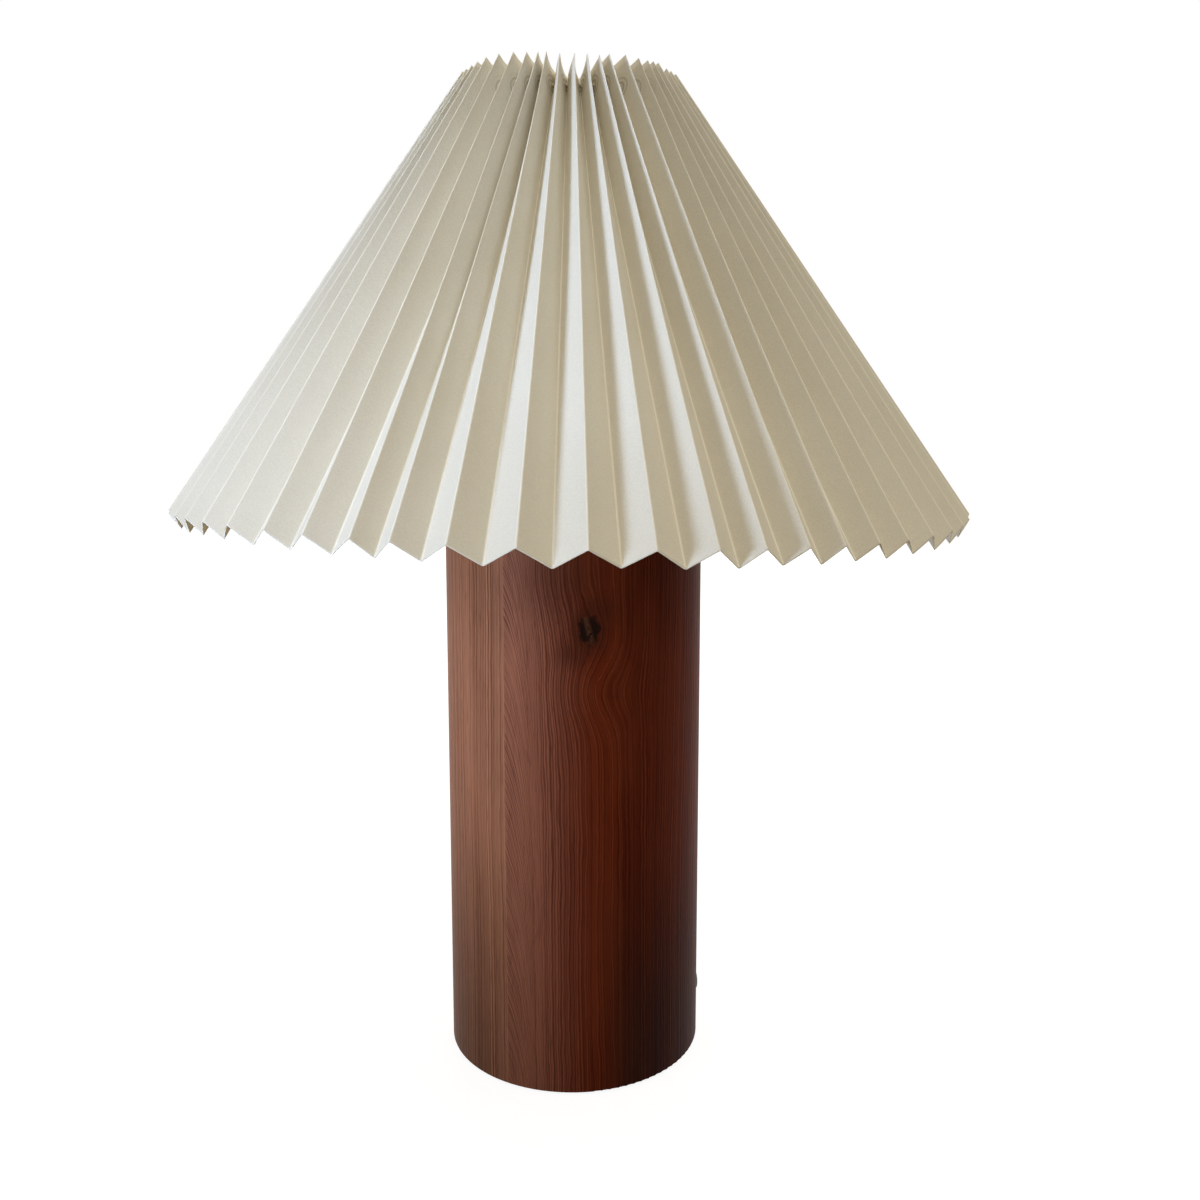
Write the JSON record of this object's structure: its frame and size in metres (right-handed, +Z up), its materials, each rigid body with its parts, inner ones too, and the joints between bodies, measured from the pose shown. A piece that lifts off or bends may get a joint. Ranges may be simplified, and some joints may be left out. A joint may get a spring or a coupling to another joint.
{
  "type": "pleated paper table lamp",
  "caption": "Table lamp: a turned dark wood cylinder carries a pleated paper cone shade, gathered at the top over a wire carrier on a screw lampholder with bulb.",
  "frame": {"origin": "centre of the felt's underside, on the axis of the wood base, where the lamp stands", "axes": "+Z up along the axis of the wood and the shade, -Y the front as pictured, +X to the right"},
  "size_m": [0.398, 0.3974, 0.5],
  "materials": {
    "shade_paper": "matt, fine laid grain, slightly translucent",
    "walnut": "dark stained, satin oil",
    "felt": "matt felt",
    "grey_plastic": "satin",
    "zinc_steel": "zinc plated",
    "brass": "satin",
    "white_plastic": "satin",
    "black_plastic": "satin",
    "wire_brown": "smooth",
    "wire_blue": "smooth",
    "white_ceramic": "glazed",
    "white_paint": "satin",
    "cord_thread": "twisted thread",
    "solder": "dull",
    "black_glass": "vitrified",
    "opal_glass": "frosted",
    "cap_nickel": "rolled",
    "stem_glass": "clear",
    "filament": "phosphor coated"
  },
  "bodies": {
    "lamp": {"wood_base": "walnut", "felt_pad": "felt", "cord_bushing": "grey_plastic", "lamp_pipe": "zinc_steel", "bottom_nut": "zinc_steel", "lock_nut": "brass", "bottom_washer": "zinc_steel", "cover_plate": "brass", "terminal_block": "white_plastic", "block_clamp_screws": "zinc_steel", "block_fixing_screw": "zinc_steel", "wire_live": "wire_brown", "wire_neutral": "wire_blue", "holder_cap": "black_plastic", "holder_body": "black_plastic", "holder_insulator": "white_ceramic", "terminal_screws": "brass", "screw_shell": "brass", "centre_contact": "brass", "switch_block": "white_plastic", "shade_ring_lower": "black_plastic", "shade_ring_upper": "black_plastic"},
    "switch": {"switch_spindle": "brass", "switch_knob": "black_plastic"},
    "carrier": {"carrier_fitter": "white_paint", "carrier_lower_ring": "white_paint", "carrier_upper_ring": "white_paint", "carrier_arms": "white_paint"},
    "shade": {"pleated_shade": "shade_paper", "gathering_cord": "cord_thread"},
    "bulb_foot": {"bulb_contact": "solder", "bulb_insulator": "black_glass"},
    "bulb": {"bulb_glass": "opal_glass", "bulb_cap": "cap_nickel", "bulb_stem": "stem_glass", "bulb_filaments": "filament"}
  },
  "joints": [
    {"name": "switch_turn", "type": "hinge", "parent": "lamp", "child": "switch", "pos_m": [0.021, 0, 0.317], "axis": [1, 0, 0], "continuous": true},
    {"name": "carrier_turn", "type": "hinge", "parent": "lamp", "child": "carrier", "pos_m": [0, 0, 0.348], "axis": [0, 0, 1], "continuous": true},
    {"name": "shade_lift", "type": "slide", "parent": "carrier", "child": "shade", "axis": [0, 0, 1], "range_m": [0, 0.22]},
    {"name": "bulb_lift", "type": "slide", "parent": "lamp", "child": "bulb_foot", "axis": [0, 0, 1], "range_m": [0, 0.0182]},
    {"name": "bulb_unscrew", "type": "hinge", "parent": "bulb_foot", "child": "bulb", "pos_m": [0, 0, 0.35], "axis": [0, 0, 1], "range_deg": [0, 1800]}
  ],
  "couplings": [
    {"joint": "bulb_lift", "follows": "bulb_unscrew", "m_per_rad": 0.00057757}
  ]
}
